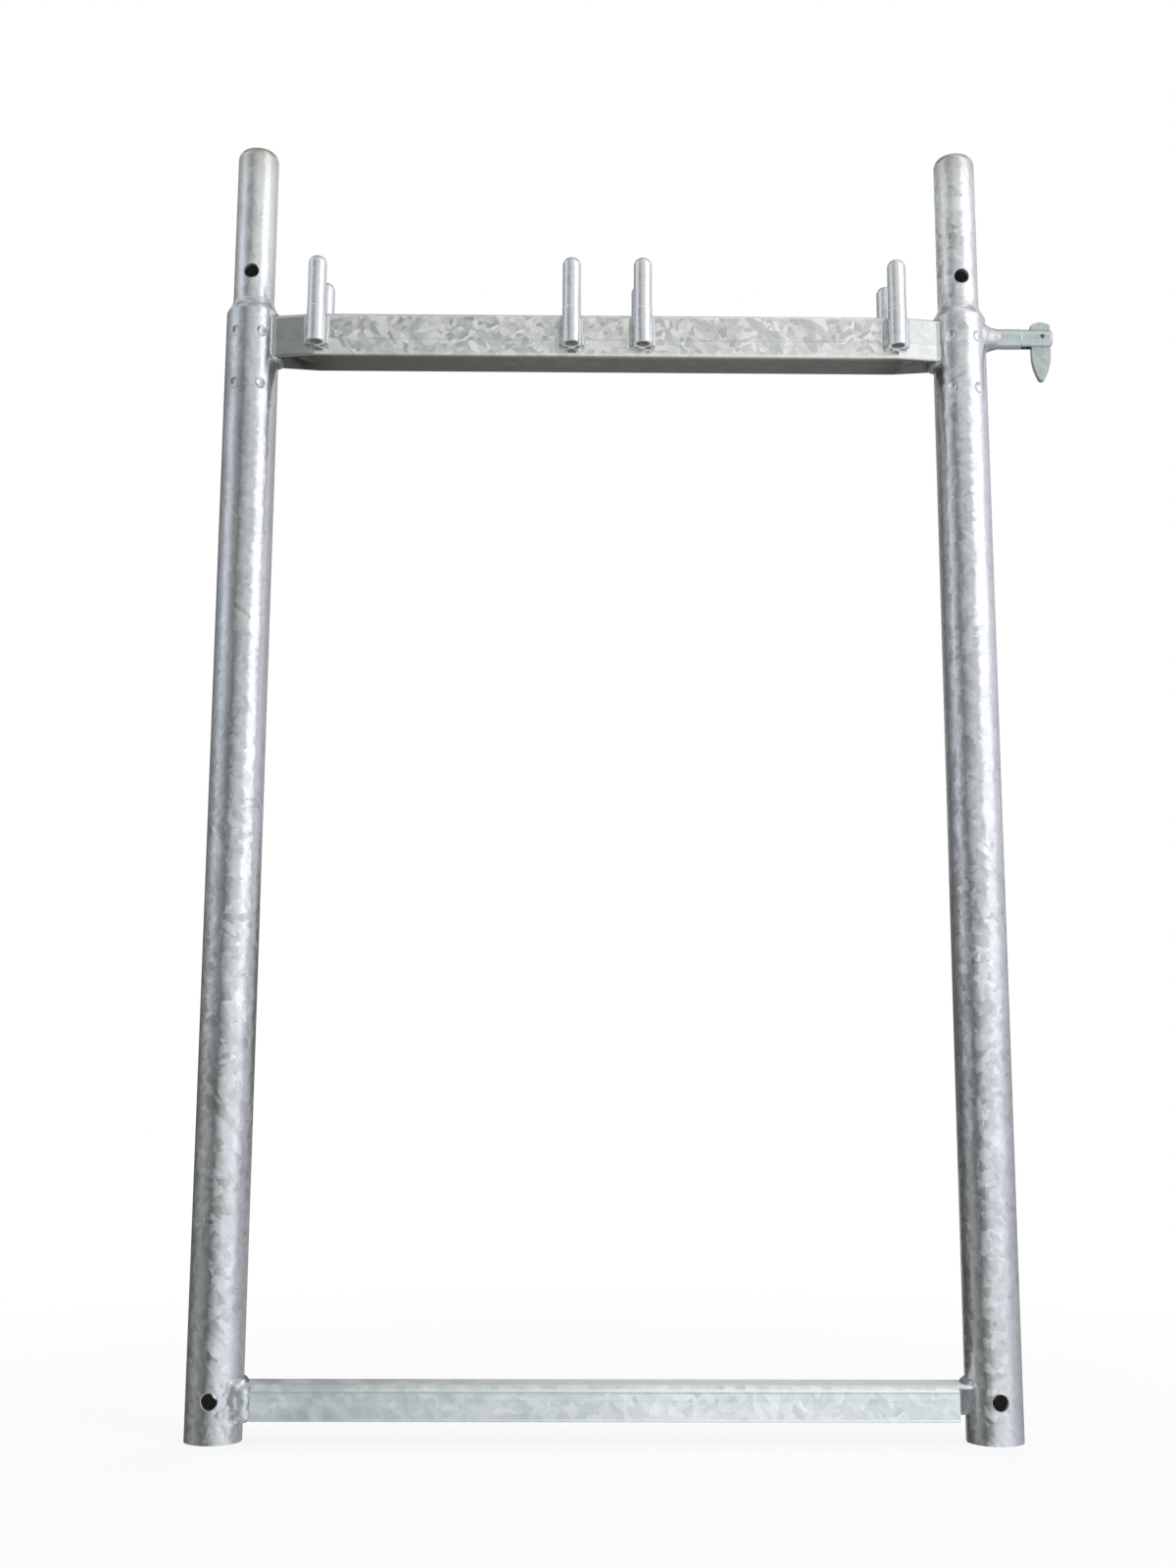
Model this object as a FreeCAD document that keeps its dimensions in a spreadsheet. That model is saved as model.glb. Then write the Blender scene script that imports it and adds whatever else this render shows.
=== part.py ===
import FreeCAD, Part
import math
import os

import Sketcher

# Hot-dip galvanised scaffold frame: two round posts with pressed-in spigots, a square top
# transom with deck pins on both faces, a channel as bottom rail and a guardrail bolt with a
# tilting latch. Millimetres. X runs along the frame, Y through it to the back, Z up. The
# origin lies midway between the two posts, in the plane of their feet.

SIZES = [
    # posts
    ("post_spacing", 657),
    ("post_diameter", 48.3),
    ("post_wall", 3.2),
    ("post_length", 1000),
    ("post_top_round", 2.5),
    # spigots, and the locking holes that line up when two frames are stacked
    ("spigot_diameter", 37.4),
    ("spigot_wall", 3.6),
    ("spigot_height", 161),
    ("spigot_depth", 100),
    ("spigot_neck", 8),
    ("spigot_mouth_diameter", 19.4),
    ("spigot_clearance", 0.1),
    ("spigot_seat_relief", 0.25),
    ("spigot_end_gap", 1),
    ("lock_hole_diameter", 13.5),
    ("lock_hole_height", 35),
    # dimples that crimp each post onto its spigot
    ("dimple_diameter", 11),
    ("dimple_tip_diameter", 5),
    ("dimple_depth", 2.2),
    ("dimple_angle", 30),
    ("dimple_first_row", 25),
    ("dimple_row_pitch", 50),
    # square top transom with squeezed ends
    ("transom_height", 41.5),
    ("transom_depth", 40),
    ("transom_wall", 3),
    ("transom_corner_round", 4),
    ("transom_drop", 6),
    ("transom_squeeze", 5.5),
    ("transom_squeeze_length", 36),
    ("transom_crease", 8),
    ("transom_weld_leg", 5),
    ("transom_weld_spread", 5.5),
    # upright deck pins
    ("deck_pitch", 298.5),
    ("deck_pin_pair", 233.3),
    ("deck_pin_diameter", 16.7),
    ("deck_pin_root_diameter", 17.1),
    ("deck_pin_step", 1.5),
    ("deck_pin_wall", 2.6),
    ("deck_pin_bore_depth", 28),
    ("deck_pin_length", 82.4),
    ("deck_pin_rise", 50.2),
    ("deck_pin_tip_diameter", 3),
    ("deck_pin_weld_length", 28),
    # bottom rail
    ("rail_depth", 38),
    ("rail_height", 29),
    ("rail_wall", 3),
    ("rail_inner_round", 2.5),
    ("rail_lift", 18.5),
    ("rail_end_setback", 20.8),
    ("rail_cope_setback", 32.5),
    ("rail_cope_round", 5),
    ("rail_low_tack", 3.5),
    ("rail_high_tack", 6.5),
    # guardrail bolt
    ("bolt_diameter", 18.5),
    ("bolt_head_diameter", 18),
    ("bolt_head_step", 1),
    ("bolt_root_chamfer", 2),
    ("bolt_reach", 86),
    ("bolt_drop", 19),
    ("bolt_end_round", 3),
    ("bolt_slot_width", 6.6),
    ("bolt_slot_length", 28.7),
    ("bolt_weld_length", 6.5),
    ("bolt_weld_rise", 11),
    ("bolt_weld_spread", 4),
    # latch flap and the sleeve it swings on
    ("latch_setback", 10.3),
    ("latch_width", 17.5),
    ("latch_thickness", 6),
    ("latch_heel", 13),
    ("latch_crown_radius", 15),
    ("latch_flank", 13),
    ("latch_flank_radius", 52),
    ("latch_drop", 40.2),
    ("latch_tip_width", 4.4),
    ("latch_tip_radius", 3.2),
    ("latch_pin_diameter", 6),
    ("latch_pin_wall", 1),
    ("latch_pin_slit", 1),
    ("latch_clearance", 0.05),
    # weld beads, and how far a cutting tool runs past what it cuts
    ("weld_leg", 5),
    ("bead_radius", 3.5),
    ("cut_margin", 1),
]

LEFT = -1
RIGHT = 1
FRONT = -1
REAR = 1

document = FreeCAD.newDocument("scaffold_frame")
sheet = document.addObject("Spreadsheet::Sheet", "sizes")
for row, (alias, value) in enumerate(SIZES, start=1):
    sheet.set(f"A{row}", alias)
    sheet.set(f"B{row}", str(value))
    sheet.setAlias(f"B{row}", alias)
document.recompute()

nodes = []


def size(expression):
    """Value of a sheet alias, or of an expression in sheet aliases."""
    return float(sheet.evalExpression(expression))


def vector(x, y, z):
    return FreeCAD.Vector(x, y, z)


def bind(item, **expressions):
    """Ties properties to the sheet. Two underscores stand for a dot in a property's path."""
    for name, expression in expressions.items():
        item.setExpression(name.replace("__", "."), expression)
    return item


def keep(item, label):
    """Marks an object as a finished piece; its label names its file."""
    item.Label = label
    nodes.append(item)
    return item


def new_body(name):
    return document.addObject("PartDesign::Body", name)


def new_sketch(body, name, role):
    """Empty sketch on one of the body's own origin planes."""
    sketch = body.newObject("Sketcher::SketchObject", name)
    plane = next(item for item in body.Origin.OriginFeatures if item.Role == role)
    sketch.AttachmentSupport = [(plane, "")]
    sketch.MapMode = "FlatFace"
    return sketch


def constrain(sketch, expression, kind, *where):
    """Adds a dimension whose value is an expression in the sheet."""
    number = sketch.addConstraint(Sketcher.Constraint(kind, *where, sketch.evalExpression(expression)))
    sketch.setExpression(f"Constraints[{number}]", expression)


def arc_between(start, end, radius, hollow):
    """Arc of a circle between two points, bulging out of an anticlockwise outline or, if hollow, into it."""
    if hollow:
        start, end = end, start
    chord = end - start
    height = math.sqrt(radius ** 2 - (chord.Length / 2) ** 2)
    centre = start + chord / 2 + vector(-chord.y, chord.x, 0) / chord.Length * height
    angles = [math.atan2(point.y - centre.y, point.x - centre.x) for point in (start, end)]
    return Part.ArcOfCircle(Part.Circle(centre, vector(0, 0, 1), radius), *angles)


def draw_outline(sketch, corners):
    """Closed anticlockwise outline. A corner is (across, up), or (across, up, radius) where an arc leads
    to the next corner; a radius that starts with "hollow" is an arc that bends inwards."""
    points = []
    for corner in corners:
        points.append(vector(sketch.evalExpression(corner[0]), sketch.evalExpression(corner[1]), 0))
    ends = []
    for index, corner in enumerate(corners):
        start = points[index]
        end = points[(index + 1) % len(points)]
        hollow = False
        if len(corner) == 2:
            edge = sketch.addGeometry(Part.LineSegment(start, end))
        else:
            hollow = corner[2].startswith("hollow ")
            radius = corner[2].removeprefix("hollow ")
            edge = sketch.addGeometry(arc_between(start, end, sketch.evalExpression(radius), hollow))
            constrain(sketch, radius, "Radius", edge)
        ends.append((edge, 2, 1) if hollow else (edge, 1, 2))
    for index, corner in enumerate(corners):
        edge, first, last = ends[index]
        next_edge, next_first, next_last = ends[(index + 1) % len(ends)]
        sketch.addConstraint(Sketcher.Constraint("Coincident", edge, last, next_edge, next_first))
        constrain(sketch, corner[0], "DistanceX", -1, 1, edge, first)
        constrain(sketch, corner[1], "DistanceY", -1, 1, edge, first)


def draw_circle(sketch, across, up, diameter):
    centre = vector(sketch.evalExpression(across), sketch.evalExpression(up), 0)
    radius = sketch.evalExpression(diameter) / 2
    edge = sketch.addGeometry(Part.Circle(centre, vector(0, 0, 1), radius))
    constrain(sketch, across, "DistanceX", -1, 1, edge, 3)
    constrain(sketch, up, "DistanceY", -1, 1, edge, 3)
    constrain(sketch, diameter, "Diameter", edge)


def revolve(body, sketch, axis):
    turned = body.newObject("PartDesign::Revolution", body.Name + "_turned")
    turned.Profile = sketch
    turned.ReferenceAxis = (sketch, [axis])
    turned.Angle = 360
    return turned


def pad(body, sketch, length):
    solid = body.newObject("PartDesign::Pad", sketch.Name + "_pad")
    solid.Profile = sketch
    solid.SideType = "Symmetric"
    return bind(solid, Length=length)


def cut_through(body, sketch):
    """Pocket right through the body, on both sides of its sketch."""
    pocket = body.newObject("PartDesign::Pocket", sketch.Name + "_cut")
    pocket.Profile = sketch
    pocket.SideType = "Symmetric"
    pocket.Type = "ThroughAll"
    return pocket


def round_edges(body, chosen, radius):
    """Fillet on the edges of the body's last feature that pass the test."""
    document.recompute()
    base = body.Tip
    names = [f"Edge{number}" for number, edge in enumerate(base.Shape.Edges, start=1) if chosen(edge)]
    fillet = body.newObject("PartDesign::Fillet", body.Name + "_round")
    fillet.Base = (base, names)
    return bind(fillet, Radius=radius)


def ring_at(radius, height):
    """Test for a round edge about the body's upright axis, with this radius and height."""
    def chosen(edge):
        if not isinstance(edge.Curve, Part.Circle):
            return False
        return abs(edge.Curve.Radius - radius) < 1e-6 and abs(edge.Curve.Center.z - height) < 1e-6
    return chosen


def combine(kind, name, base, tool):
    result = document.addObject(kind, name)
    result.Base = base
    result.Tool = tool
    return result


def gather(kind, name, items):
    """Compound or fusion of several objects."""
    result = document.addObject(kind, name)
    if kind == "Part::Compound":
        result.Links = items
    else:
        result.Shapes = items
    return result


def side_name(side):
    return "left" if side == LEFT else "right"


# Plain cylinders that fill the posts and run on above them: whatever is welded to a post is cut to its
# round face with them.
post_fill = {}
for side in (LEFT, RIGHT):
    cylinder = document.addObject("Part::Cylinder", f"post_fill_{side_name(side)}")
    bind(cylinder, Radius="sizes.post_diameter / 2", Height="sizes.post_length + sizes.spigot_height")
    post_fill[side] = bind(cylinder, Placement__Base__x=f"{side} * sizes.post_spacing / 2")
both_posts = gather("Part::Compound", "post_fill_both", list(post_fill.values()))


def place_dimples(name, kind, side, radius, **measures):
    """One solid for each dimple of a post, at the given radius and turned towards the post's axis."""
    solids = []
    angle = size("sizes.dimple_angle")
    for row in (0, 1):
        for turn in (-angle, angle, 180 - angle, 180 + angle):
            solid = bind(document.addObject(kind, name), **measures)
            outward = FreeCAD.Rotation(vector(0, 0, 1), turn).multVec(vector(0, -1, 0))
            foot = outward * size(radius)
            foot.x += side * size("sizes.post_spacing / 2")
            foot.z = size(f"sizes.post_length - sizes.dimple_first_row - {row} * sizes.dimple_row_pitch")
            solid.Placement = FreeCAD.Placement(foot, FreeCAD.Rotation(vector(0, 0, 1), -outward))
            solids.append(solid)
    return solids


# Post: a drawn tube with a plain foot, a locking hole near the foot and a rounded top edge. Its upper end
# is bored out for the spigot. The crimping punches leave two rows of dimples, each with a dent outside
# and a nub inside.
SPIGOT_BORE = "sizes.post_diameter / 2 - sizes.post_wall + sizes.spigot_seat_relief"


def make_post(side):
    name = side_name(side) + "_post"
    body = new_body(name + "_tube")
    bind(body, Placement__Base__x=f"{side} * sizes.post_spacing / 2")
    outside = "sizes.post_diameter / 2"
    inside = "sizes.post_diameter / 2 - sizes.post_wall"
    shoulder = "sizes.post_length - sizes.spigot_depth - sizes.spigot_end_gap"
    wall = new_sketch(body, name + "_wall", "XZ_Plane")
    draw_outline(wall, [
        (inside, "0"),
        (outside, "0"),
        (outside, "sizes.post_length"),
        (SPIGOT_BORE, "sizes.post_length"),
        (SPIGOT_BORE, shoulder),
        (inside, shoulder),
    ])
    revolve(body, wall, "V_Axis")
    round_edges(body, ring_at(size(outside), size("sizes.post_length")), "sizes.post_top_round")
    hole = new_sketch(body, name + "_lock_hole", "XZ_Plane")
    draw_circle(hole, "0", "sizes.lock_hole_height", "sizes.lock_hole_diameter")
    cut_through(body, hole)
    punch = "((sizes.dimple_diameter / 2) ^ 2 + sizes.dimple_depth ^ 2) / (2 * sizes.dimple_depth)"
    punch_centre = f"{outside} - sizes.dimple_depth + {punch}"
    dents = place_dimples(name + "_dent", "Part::Sphere", side, punch_centre, Radius=punch)
    wide = "sizes.dimple_diameter / 2"
    narrow = "sizes.dimple_tip_diameter / 2"
    nub_root = f"{SPIGOT_BORE} + sizes.post_wall / 6"
    nub_depth = "sizes.dimple_depth + sizes.post_wall / 6"
    nubs = place_dimples(name + "_nub", "Part::Cone", side, nub_root, Radius1=wide, Radius2=narrow,
                         Height=nub_depth)
    dented = combine("Part::Cut", name + "_dented", body, gather("Part::Compound", name + "_dents", dents))
    keep(gather("Part::MultiFuse", name + "_crimped", [dented] + nubs), name)


# Spigot: a tube whose lower end is widened to fill the post and whose nose is rolled in, with an open
# end for the zinc to drain. Its neck starts inside the post, so that the post of the next frame can rest
# on this one. The post's nubs sit in its own dimples.
def make_spigot(side):
    name = side_name(side) + "_spigot"
    body = new_body(name + "_tube")
    bind(body, Placement__Base__x=f"{side} * sizes.post_spacing / 2", Placement__Base__z="sizes.post_length")
    seat = f"{SPIGOT_BORE} - sizes.spigot_clearance"
    outside = "sizes.spigot_diameter / 2"
    inside = "sizes.spigot_diameter / 2 - sizes.spigot_wall"
    mouth = "sizes.spigot_mouth_diameter / 2"
    nose = "(sizes.spigot_diameter - sizes.spigot_mouth_diameter) / 2"
    wall = new_sketch(body, name + "_wall", "XZ_Plane")
    draw_outline(wall, [
        (f"{seat} - sizes.spigot_wall", "-sizes.spigot_depth"),
        (seat, "-sizes.spigot_depth"),
        (seat, "-sizes.spigot_neck / 2"),
        (outside, "sizes.spigot_neck"),
        (outside, f"sizes.spigot_height - {nose}", nose),
        (mouth, "sizes.spigot_height"),
        (mouth, "sizes.spigot_height - sizes.spigot_wall", f"hollow {nose} - sizes.spigot_wall"),
        (inside, f"sizes.spigot_height - {nose}"),
        (inside, "sizes.spigot_neck"),
        (f"{seat} - sizes.spigot_wall", "-sizes.spigot_neck / 2"),
    ])
    revolve(body, wall, "V_Axis")
    hole = new_sketch(body, name + "_lock_hole", "XZ_Plane")
    draw_circle(hole, "0", "sizes.lock_hole_height", "sizes.lock_hole_diameter")
    cut_through(body, hole)
    wide = "sizes.dimple_diameter / 2"
    narrow = "sizes.dimple_tip_diameter / 2"
    dent_root = f"{SPIGOT_BORE} + sizes.post_wall / 6"
    dent_depth = "sizes.dimple_depth + sizes.post_wall / 6 + sizes.spigot_clearance"
    dents = place_dimples(name + "_dent", "Part::Cone", side, dent_root, Height=dent_depth,
                          Radius1=f"{wide} + sizes.spigot_clearance",
                          Radius2=f"{narrow} + sizes.spigot_clearance")
    nub_root = f"{seat} - sizes.spigot_wall + sizes.spigot_wall / 6"
    nubs = place_dimples(name + "_nub", "Part::Cone", side, nub_root, Radius1=wide, Radius2=narrow,
                         Height="sizes.dimple_depth")
    dented = combine("Part::Cut", name + "_dented", body, gather("Part::Compound", name + "_dents", dents))
    keep(gather("Part::MultiFuse", name + "_crimped", [dented] + nubs), name)


# Transom: a square tube whose ends are squeezed to suit the round posts. The squeeze folds a crease
# into its top and bottom walls. Its sections are lofted straight from one to the next.
def transom_section(x, inset, squeeze, crease):
    """Rounded square across the transom at x, set in from the outer faces."""
    half_depth = size("sizes.transom_depth / 2") - inset - squeeze
    half_height = size("sizes.transom_height / 2") - inset
    corner = max(size("sizes.transom_corner_round") - inset, size("sizes.transom_wall") / 3)
    middle = size("sizes.post_length - sizes.transom_drop - sizes.transom_height / 2")
    slant = corner * math.sqrt(0.5)

    def at(y, z):
        return vector(x, y, middle + z)

    edges = []
    for across, up in ((1, -1), (1, 1), (-1, 1), (-1, -1)):
        flank = at(across * half_depth, up * (half_height - corner))
        crown = at(across * (half_depth - corner), up * half_height)
        knee = at(across * (half_depth - corner + slant), up * (half_height - corner + slant))
        fold = at(0, up * (half_height - crease))
        arc = Part.Arc(crown, knee, flank).toShape()
        edges.append([Part.LineSegment(fold, crown).toShape(), arc])
    flat = half_height - corner
    upright = [
        Part.LineSegment(at(half_depth, -flat), at(half_depth, flat)).toShape(),
        Part.LineSegment(at(-half_depth, flat), at(-half_depth, -flat)).toShape(),
    ]
    loop = edges[0] + [upright[0]] + edges[1][::-1] + edges[2] + [upright[1]] + edges[3][::-1]
    return Part.Wire(Part.__sortEdges__(loop))


def transom_solid(inset, overrun):
    """Transom filled up to the given depth under its skin, from inside one post to inside the other."""
    squeeze = size("sizes.transom_squeeze")
    crease = size("sizes.transom_crease")
    end = size("sizes.post_spacing / 2 - sizes.post_diameter / 2")
    start = end - size("sizes.transom_squeeze_length")
    buried = size("sizes.post_spacing / 2 - sizes.post_diameter / 4") + overrun
    stations = [(-buried, 1), (-end, 1), (-start, 0), (start, 0), (end, 1), (buried, 1)]
    sections = [transom_section(x, inset, share * squeeze, share * crease) for x, share in stations]
    return Part.makeLoft(sections, True, True)


transom_fill = document.addObject("Part::Feature", "transom_fill")
transom_fill.Shape = transom_solid(0, 0)
transom_hollow = document.addObject("Part::Feature", "transom_hollow")
transom_hollow.Shape = transom_solid(size("sizes.transom_wall"), size("sizes.cut_margin"))


def make_transom():
    tube = combine("Part::Cut", "transom_tube", transom_fill, transom_hollow)
    keep(combine("Part::Cut", "transom_saddled", tube, both_posts), "top_transom")


# Transom weld: a bead all round the squeezed end. It lies broad on the post's round face and runs out on
# the transom, further along its top and bottom than along its sides.
def make_transom_weld(side):
    name = f"transom_weld_{side_name(side)}"
    leg = size("sizes.transom_weld_leg")
    spread = size("sizes.transom_weld_spread")
    squeeze = size("sizes.transom_squeeze")
    axis = side * size("sizes.post_spacing / 2")
    post_radius = size("sizes.post_diameter / 2")
    sunk = -leg / 10
    stations = [
        (post_radius / 2, spread, spread),
        (post_radius - leg / 2, 0, spread * 4 / 5),
        (post_radius + leg, sunk, sunk),
    ]
    sections = [transom_section(axis - side * away, -above, squeeze + above - beside, 0)
                for away, beside, above in stations]
    flare = document.addObject("Part::Feature", name + "_flare")
    flare.Shape = Part.makeLoft(sections, True, True)
    bead = combine("Part::Cut", name + "_bead", flare, transom_fill)
    keep(combine("Part::Cut", name + "_saddled", bead, post_fill[side]), name)


# Deck pin: a round bar with a turned nose, drilled from below and welded upright to a face of the transom.
# It is turned down a little above the transom, where decks drop over two pins at each of their ends.
def pin_stations():
    """Positions of the pins along X, from left to right."""
    inner = "(sizes.deck_pitch - sizes.deck_pin_pair) / 2"
    outer = "(sizes.deck_pitch + sizes.deck_pin_pair) / 2"
    return ["-" + outer, "-" + inner, inner, outer]


def pin_distance(row):
    return f"{row} * (sizes.transom_depth / 2 + sizes.deck_pin_root_diameter / 2)"


PIN_FOOT = "sizes.post_length - sizes.transom_drop + sizes.deck_pin_rise - sizes.deck_pin_length"


def make_deck_pin(row, number, station):
    name = f"deck_pin_{'front' if row == FRONT else 'rear'}_{number}"
    body = new_body(name + "_body")
    bind(body, Placement__Base__x=station, Placement__Base__y=pin_distance(row), Placement__Base__z=PIN_FOOT)
    outside = "sizes.deck_pin_diameter / 2"
    root = "sizes.deck_pin_root_diameter / 2"
    root_top = "sizes.deck_pin_length - sizes.deck_pin_rise"
    bore = f"{root} - sizes.deck_pin_wall"
    tip = "sizes.deck_pin_tip_diameter / 2"
    nose = "(sizes.deck_pin_diameter - sizes.deck_pin_tip_diameter) / 2"
    wall = new_sketch(body, name + "_wall", "XZ_Plane")
    draw_outline(wall, [
        (bore, "0"),
        (root, "0"),
        (root, root_top),
        (outside, f"{root_top} + sizes.deck_pin_step"),
        (outside, f"sizes.deck_pin_length - {nose}", nose),
        (tip, "sizes.deck_pin_length"),
        ("0", "sizes.deck_pin_length"),
        ("0", "sizes.deck_pin_bore_depth"),
        (bore, "sizes.deck_pin_bore_depth"),
    ])
    revolve(body, wall, "V_Axis")
    keep(body, name)


# Deck pin weld: one round bead down each side of the pin, in the corner that it makes with the transom.
def make_deck_pin_weld(row, number, station):
    name = f"deck_pin_weld_{'front' if row == FRONT else 'rear'}_{number}"
    x = size(station)
    face = row * size("sizes.transom_depth / 2")
    pin_radius = size("sizes.deck_pin_root_diameter / 2")
    radius = size("sizes.bead_radius")
    length = size("sizes.deck_pin_weld_length")
    foot = size(PIN_FOOT)
    up = vector(0, 0, 1)
    pin = Part.makeCylinder(pin_radius, length, vector(x, face + row * pin_radius, foot), up)
    outer_side = Part.makeBox(4 * pin_radius, 2 * pin_radius, length)
    outer_side.translate(vector(x - 2 * pin_radius, face if row == REAR else face - 2 * pin_radius, foot))
    beads = []
    for side in (LEFT, RIGHT):
        middle = vector(x + side * pin_radius, face + row * radius / 2, foot)
        beads.append(Part.makeCylinder(radius, length, middle, up).common(outer_side).cut(pin))
    feature = document.addObject("Part::Feature", name + "_beads")
    feature.Shape = Part.makeCompound([bead.Solids[0] for bead in beads])
    keep(feature, name)


# Bottom rail: a sheet channel, open below. Its ends are cut square and notched round for the posts, and
# its front wall is coped back from them.
def make_rail():
    body = new_body("rail_channel")
    bind(body, Placement__Base__z="sizes.rail_lift")
    half = "sizes.rail_depth / 2"
    inner_half = "(sizes.rail_depth / 2 - sizes.rail_wall)"
    top = "sizes.rail_height"
    ceiling = "(sizes.rail_height - sizes.rail_wall)"
    bend = "(sizes.rail_inner_round + sizes.rail_wall)"
    inner_bend = "sizes.rail_inner_round"
    profile = new_sketch(body, "rail_profile", "YZ_Plane")
    draw_outline(profile, [
        (f"-{half}", "0"),
        (f"-{inner_half}", "0"),
        (f"-{inner_half}", f"{ceiling} - {inner_bend}", f"hollow {inner_bend}"),
        (f"-{inner_half} + {inner_bend}", ceiling),
        (f"{inner_half} - {inner_bend}", ceiling, f"hollow {inner_bend}"),
        (inner_half, f"{ceiling} - {inner_bend}"),
        (inner_half, "0"),
        (half, "0"),
        (half, f"{top} - {bend}", bend),
        (f"{half} - {bend}", top),
        (f"-{half} + {bend}", top, bend),
        (f"-{half}", f"{top} - {bend}"),
    ])
    pad(body, profile, "sizes.post_spacing - 2 * sizes.rail_end_setback")
    for side in (LEFT, RIGHT):
        cope = new_sketch(body, f"rail_cope_{side_name(side)}", "XZ_Plane")
        bind(cope, AttachmentOffset__Base__z=half)
        end = f"{side} * (sizes.post_spacing / 2 - sizes.rail_end_setback + sizes.cut_margin)"
        wall_end = f"{side} * (sizes.post_spacing / 2 - sizes.rail_cope_setback)"
        corner = f"{wall_end} - {side} * sizes.rail_cope_round"
        below = "-sizes.cut_margin"
        rounding = "sizes.rail_cope_round"
        if side == RIGHT:
            draw_outline(cope, [
                (wall_end, below),
                (end, below),
                (end, top),
                (corner, top, f"hollow {rounding}"),
                (wall_end, f"{top} - {rounding}"),
            ])
        else:
            draw_outline(cope, [
                (end, below),
                (wall_end, below),
                (wall_end, f"{top} - {rounding}", f"hollow {rounding}"),
                (corner, top),
                (end, top),
            ])
        pocket = body.newObject("PartDesign::Pocket", cope.Name + "_cut")
        pocket.Profile = cope
        bind(pocket, Length=bend)
    return keep(combine("Part::Cut", "rail_notched", body, both_posts), "bottom_rail")


# Rail weld: a fillet round the post on top of the rail, and tacks where the walls end short of the post.
# The front wall is welded at the left end only.
def make_rail_weld(side, rail):
    name = f"rail_weld_{side_name(side)}"
    axis = side * size("sizes.post_spacing / 2")
    post_radius = size("sizes.post_diameter / 2")
    leg = size("sizes.weld_leg")
    lift = size("sizes.rail_lift")
    top = lift + size("sizes.rail_height")
    half = size("sizes.rail_depth / 2")
    wall = size("sizes.rail_wall")
    bend = size("sizes.rail_inner_round") + wall

    def block(near, far, front, back, low, high):
        """Box between two distances from the post's axis, on the side of the rail."""
        box = Part.makeBox(far - near, back - front, high - low)
        box.translate(vector(axis - near - (far - near) if side == RIGHT else axis + near, front, low))
        return box

    collar = Part.makeCone(post_radius + leg, post_radius, leg, vector(axis, 0, top))
    pieces = [collar.common(block(0, post_radius + leg, bend - half, half, top, top + leg))]
    end = size("sizes.rail_end_setback")
    low_tack = lift + size("sizes.rail_low_tack")
    pieces.append(block(end - 2 * leg, end, half - wall, half, lift, low_tack))
    shoulder = top - bend
    high_tack = shoulder - size("sizes.rail_high_tack")
    pieces.append(block(end - 2 * leg, end, half - wall, half, high_tack, shoulder))
    if side == LEFT:
        cope = size("sizes.rail_cope_setback")
        pieces.append(block(end - leg, cope, -half, bend - half, lift, top - leg))
    solids = []
    for piece in pieces:
        solids += piece.cut(post_fill[side].Shape).cut(rail.Shape).Solids
    feature = document.addObject("Part::Feature", name + "_beads")
    feature.Shape = Part.makeCompound(solids)
    keep(feature, name)


# Guardrail bolt: a round bar on the outer side of the right post, chamfered for its weld. Its free end is
# turned down a little, with a slot sawn into it and a cross hole for the sleeve that carries the latch.
def make_bolt():
    body = new_body("bolt_bar")
    bind(
        body,
        Placement__Base__x="sizes.post_spacing / 2",
        Placement__Base__z="sizes.post_length - sizes.bolt_drop",
    )
    bar = new_sketch(body, "bolt_section", "XZ_Plane")
    shank = "sizes.bolt_diameter / 2"
    head = "sizes.bolt_head_diameter / 2"
    head_start = "sizes.bolt_reach - sizes.bolt_slot_length"
    draw_outline(bar, [
        ("0", "0"),
        ("sizes.bolt_reach", "0"),
        ("sizes.bolt_reach", f"{head} - sizes.bolt_end_round", "sizes.bolt_end_round"),
        ("sizes.bolt_reach - sizes.bolt_end_round", head),
        (head_start, head),
        (f"{head_start} - sizes.bolt_head_step", shank),
        ("sizes.post_diameter / 2 + sizes.bolt_weld_length", shank),
        ("0", f"{shank} - sizes.bolt_root_chamfer"),
    ])
    revolve(body, bar, "H_Axis")
    slot = new_sketch(body, "bolt_slot", "XZ_Plane")
    above = "sizes.bolt_diameter / 2 + sizes.cut_margin"
    draw_outline(slot, [
        (head_start, f"-({above})"),
        ("sizes.bolt_reach + sizes.cut_margin", f"-({above})"),
        ("sizes.bolt_reach + sizes.cut_margin", above),
        (head_start, above),
    ])
    sawn = body.newObject("PartDesign::Pocket", "bolt_slot_cut")
    sawn.Profile = slot
    sawn.SideType = "Symmetric"
    bind(sawn, Length="sizes.bolt_slot_width")
    hole = new_sketch(body, "bolt_cross_hole", "XZ_Plane")
    draw_circle(hole, "sizes.bolt_reach - sizes.latch_setback", "0", "sizes.latch_pin_diameter")
    cut_through(body, hole)
    return keep(combine("Part::Cut", "bolt_saddled", body, post_fill[RIGHT]), "guardrail_bolt")


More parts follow.
